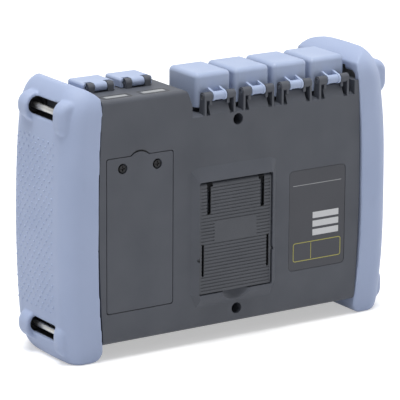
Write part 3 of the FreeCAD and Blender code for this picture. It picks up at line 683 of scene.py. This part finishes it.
# ---- case, covers and the pieces that keep their own meshes ---------------------------------
dress("rear_case", rear_plastic, width=0.2 * MM)
dress("front_case", case_plastic, width=0.3 * MM)
dress("battery_door", case_plastic)
paint("kickstand", stand_plastic)
# painted shade: near-black material on the slot floors of the kickstand
paint_shade_on_faces("kickstand", kickstand_slot_shade, stand_slots)
PORT_COVERS = ["port_cover_%d" % number for number in range(1, 5)]
for number, cover in enumerate(PORT_COVERS, 1):
    dress(cover, cover_plastic, cover, 0.3 * MM)
    dress("optical_adapter_%d" % number, adapter_green, width=0.2 * MM)
for cover in ("dust_cover_1", "dust_cover_2"):
    dress(cover, cover_plastic, cover, 0.3 * MM)
for material, names in ((key_rubber, ("power_key", "menu_key", "escape_key", "up_key", "left_key",
                                      "enter_key", "right_key", "down_key", "run_key")),
                        (pin_steel, ("strap_bars", "port_hinge_pins", "dust_hinge_pins",
                                     "kickstand_pin")),
                        (socket_nickel, ("data_socket", "charge_socket")),
                        (screw_steel, ("battery_door_screws", "case_screws")),
                        (battery_wrap, ("battery_pack",)),
                        (plate_film, ("rating_plate",)),
                        (screen_window, ("display_window", "display_panel")),
                        (board_green, ("keypad_board", "main_board")),
                        (module_cast, ("optical_module",)),
                        (tray_plastic, ("fibre_tray",)),
                        (seal_rubber, ("case_gasket",))):
    for node in names:
        paint(node, material)


# ---- rims around the ends of the cover hinge pins -------------------------------------------
RIM_RADIUS = 1.75 * MM
RIM_WIRE = 0.32 * MM
RIM_AROUND = 28
RIM_SECTION = 8


def add_rim(bm, x, y, z):
    """Raised ring on the side face of a knuckle, centred on the hinge pin."""
    rings = []
    for i in range(RIM_AROUND):
        turn = 2 * pi * i / RIM_AROUND
        ring = []
        for k in range(RIM_SECTION):
            tilt = 2 * pi * k / RIM_SECTION
            reach = RIM_RADIUS + RIM_WIRE * cos(tilt)
            ring.append(bm.verts.new((x + RIM_WIRE * sin(tilt), y + reach * cos(turn),
                                      z + reach * sin(turn))))
        rings.append(ring)
    for i in range(RIM_AROUND):
        for k in range(RIM_SECTION):
            n, m = (i + 1) % RIM_AROUND, (k + 1) % RIM_SECTION
            bm.faces.new((rings[i][k], rings[n][k], rings[n][m], rings[i][m]))


def finished_mesh(bm, name):
    """Closes the work on a mesh, with its faces turned outwards."""
    bmesh.ops.recalc_face_normals(bm, faces=bm.faces)
    mesh = bpy.data.meshes.new(name)
    bm.to_mesh(mesh)
    bm.free()
    return mesh


pins_low, pins_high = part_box("port_hinge_pins")
cover_boxes = [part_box(cover) for cover in PORT_COVERS]
cover_middles = [(low[0] + high[0]) / 2 for low, high in cover_boxes]
knuckle_reach = pins_high[0] - max(cover_middles)
rims = bmesh.new()
for middle in cover_middles:
    for side in (-1, 1):
        add_rim(rims, middle + side * knuckle_reach, (pins_low[1] + pins_high[1]) / 2,
                (pins_low[2] + pins_high[2]) / 2)
rim_mesh = finished_mesh(rims, "hinge_rims")
rim_mesh.shade_smooth()
new_piece("hinge_rims", rim_mesh, case_plastic, "case")

# ---- prints ---------------------------------------------------------------------------------
FILM = 0.05 * MM
CORNER_STEPS = 6
THIN_RADIUS = 0.15

# on the plate, in millimetres across and up: left, right, foot, head
PLATE_RULE = (-80.1, -44.2, 88.8, 89.2)
PLATE_FRAME = (-80.4, -44.7, 40.7, 52.7)
PLATE_FRAME_BAR = (-58.2, -57.8, 41.6, 51.8)
PLATE_FRAME_RADIUS, PLATE_FRAME_LINE = 1.6, 0.5
FIELD_SIDES = (-78.5, -59.1)
FIELD_FEET = (66.9, 61.45, 55.95)
FIELD_HEIGHT = 3.9
FIELD_RADIUS = 0.25
PLATE_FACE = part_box("rating_plate")[1][1]

# on the case's top, in millimetres across and back
LABELS = ((67.7, 87.2, 20.0, 28.2), (41.7, 61.2, 19.5, 28.1))
LABEL_RADIUS, LABEL_LINE = 1.6, 1.0
LABEL_MARGIN = 2.2
LABEL_FIELD_RADIUS = 0.8
CASE_TOP = 158.5 * MM


def rounded(u0, u1, v0, v1, radius):
    """Outline of a rectangle with rounded corners, in millimetres."""
    ring = []
    corners = ((u1 - radius, v1 - radius), (u0 + radius, v1 - radius), (u0 + radius, v0 + radius),
               (u1 - radius, v0 + radius))
    for quarter, (u, v) in enumerate(corners):
        for step in range(CORNER_STEPS + 1):
            angle = (quarter + step / CORNER_STEPS) * pi / 2
            ring.append(((u + radius * cos(angle)) * MM, (v + radius * sin(angle)) * MM))
    return ring


def filled(u0, u1, v0, v1, radius):
    """A rounded shape with no opening."""
    return rounded(u0, u1, v0, v1, radius), None


def framed(u0, u1, v0, v1, radius, line):
    """A rounded outline and the same outline set in by the width of its line."""
    return (rounded(u0, u1, v0, v1, radius),
            rounded(u0 + line, u1 - line, v0 + line, v1 - line, radius - line))


def printed(name, shapes, upright, level, material):
    """Layer of ink on a face: each shape is an outline, with a second one where it is a frame."""
    bm = bmesh.new()
    for outer, inner in shapes:
        rings = []
        for height in (level - FILM, level + FILM):
            for ring in (outer, inner):
                if ring:
                    rings.append([bm.verts.new((u, height, v) if upright else (u, v, height))
                                  for u, v in ring])
        count = len(outer)
        low, high = rings[:len(rings) // 2], rings[len(rings) // 2:]
        pairs = list(zip(low, high))
        if inner:
            pairs += [(low[0], low[1]), (high[0], high[1])]
        else:
            bm.faces.new(low[0])
            bm.faces.new(high[0])
        for first, second in pairs:
            for k in range(count):
                n = (k + 1) % count
                bm.faces.new((first[k], first[n], second[n], second[k]))
    new_piece(name, finished_mesh(bm, name), material, "case")


printed("plate_rule", [filled(*PLATE_RULE, THIN_RADIUS)], True, PLATE_FACE, print_line)
printed("plate_fields", [filled(*FIELD_SIDES, foot, foot + FIELD_HEIGHT, FIELD_RADIUS)
                         for foot in FIELD_FEET], True, PLATE_FACE, print_pale)
printed("plate_frame", [framed(*PLATE_FRAME, PLATE_FRAME_RADIUS, PLATE_FRAME_LINE),
                        filled(*PLATE_FRAME_BAR, THIN_RADIUS)], True, PLATE_FACE, print_olive)
printed("port_label_fields", [filled(u0 + LABEL_MARGIN, u1 - LABEL_MARGIN, v0 + LABEL_MARGIN,
                                     v1 - LABEL_MARGIN, LABEL_FIELD_RADIUS)
                              for u0, u1, v0, v1 in LABELS], False, CASE_TOP, label_grey)
printed("port_label_frames", [framed(*label, LABEL_RADIUS, LABEL_LINE) for label in LABELS],
        False, CASE_TOP, label_dark)


# ---- stage ----------------------------------------------------------------------------------
FLOOR_REACH = 6.0
FLOOR_GLOW = 0.45          # added only where the floor is seen, so that it shows as white
WORLD_DIM = 0.3            # strength of the studio's walls as a light
SOFTBOXES = (              # name, direction from the object to the lamp, strength, angle
    ("overhead_softbox", (0.12, 0.03, 0.98), 3.1, 40),
    ("side_softbox", (0.9, 0.1, 0.3), 0.12, 30),
    ("far_softbox", (-0.95, 0.12, 0.28), 0.6, 30),
)


def seen(t):
    """1 where a surface is seen directly, in a gloss or through glass, and 0 where it lights."""
    path = t.add("ShaderNodeLightPath")
    direct = t.maths("MAXIMUM", path.outputs["Is Camera Ray"], path.outputs["Is Glossy Ray"])
    return t.maths("MAXIMUM", direct, path.outputs["Is Transmission Ray"])


def white_where_seen(name, colour, lift):
    """Pale matt surface that shows as white to the eye and keeps soft shadows."""
    t = material_tree(name)
    diffuse = t.add("ShaderNodeBsdfDiffuse")
    diffuse.inputs["Color"].default_value = (*colour, 1.0)
    glow = t.add("ShaderNodeEmission")
    glow.inputs["Color"].default_value = WHITE
    t.link(t.maths("MULTIPLY", seen(t), lift), glow.inputs["Strength"])
    both = t.add("ShaderNodeAddShader")
    t.link(diffuse.outputs[0], both.inputs[0])
    t.link(glow.outputs[0], both.inputs[1])
    out = t.add("ShaderNodeOutputMaterial")
    t.link(both.outputs[0], out.inputs["Surface"])
    return t.owner


floor_mesh = bpy.data.meshes.new("floor")
floor_corners = [(x * FLOOR_REACH, y * FLOOR_REACH, 0)
                 for x, y in ((-1, -1), (1, -1), (1, 1), (-1, 1))]
floor_mesh.from_pydata(floor_corners, [], [(0, 1, 2, 3)])
floor_mesh.materials.append(white_where_seen("floor_white", FLOOR_PALE, FLOOR_GLOW))
floor = link(bpy.data.objects.new("floor", floor_mesh))

world = bpy.data.worlds.new("studio")
bpy.context.scene.world = world
studio = Tree(world)
background = studio.add("ShaderNodeBackground")
background.inputs["Color"].default_value = WHITE
studio.link(studio.spread(seen(studio), 0.0, 1.0, WORLD_DIM, 1.0), background.inputs["Strength"])
world_out = studio.add("ShaderNodeOutputWorld")
studio.link(background.outputs[0], world_out.inputs["Surface"])

for name, toward, strength, angle in SOFTBOXES:
    light = bpy.data.lights.new(name, "SUN")
    light.energy = strength
    light.angle = radians(angle)
    lamp = link(bpy.data.objects.new(name, light))
    lamp.rotation_mode = "QUATERNION"
    lamp.rotation_quaternion = Vector(toward).to_track_quat("Z", "Y")

# ---- camera ---------------------------------------------------------------------------------
CAMERA_PLACE = (0.97067, 1.47919, 0.55455)
CAMERA_LENS = 270.0
CAMERA_SENSOR = 36.0
CAMERA_TURN = radians(180 - 33.21)
CAMERA_LIFT = radians(15.03)
CAMERA_ROLL = radians(0.36)
CAMERA_NEAR, CAMERA_FAR = 0.1, 50.0

camera_data = bpy.data.cameras.new("camera")
camera_data.lens = CAMERA_LENS
camera_data.sensor_width = CAMERA_SENSOR
camera_data.clip_start = CAMERA_NEAR
camera_data.clip_end = CAMERA_FAR
camera = link(bpy.data.objects.new("camera", camera_data))
camera.location = CAMERA_PLACE
back = Vector((sin(CAMERA_TURN) * cos(CAMERA_LIFT), -cos(CAMERA_TURN) * cos(CAMERA_LIFT),
               sin(CAMERA_LIFT)))
level = Vector((0, 0, 1)).cross(back).normalized()
upright = back.cross(level)
right_way = cos(CAMERA_ROLL) * level + sin(CAMERA_ROLL) * upright
up_way = -sin(CAMERA_ROLL) * level + cos(CAMERA_ROLL) * upright
camera.rotation_mode = "QUATERNION"
camera.rotation_quaternion = Matrix((right_way, up_way, back)).transposed().to_quaternion()
bpy.context.scene.camera = camera
bpy.context.scene.view_settings.view_transform = "Standard"
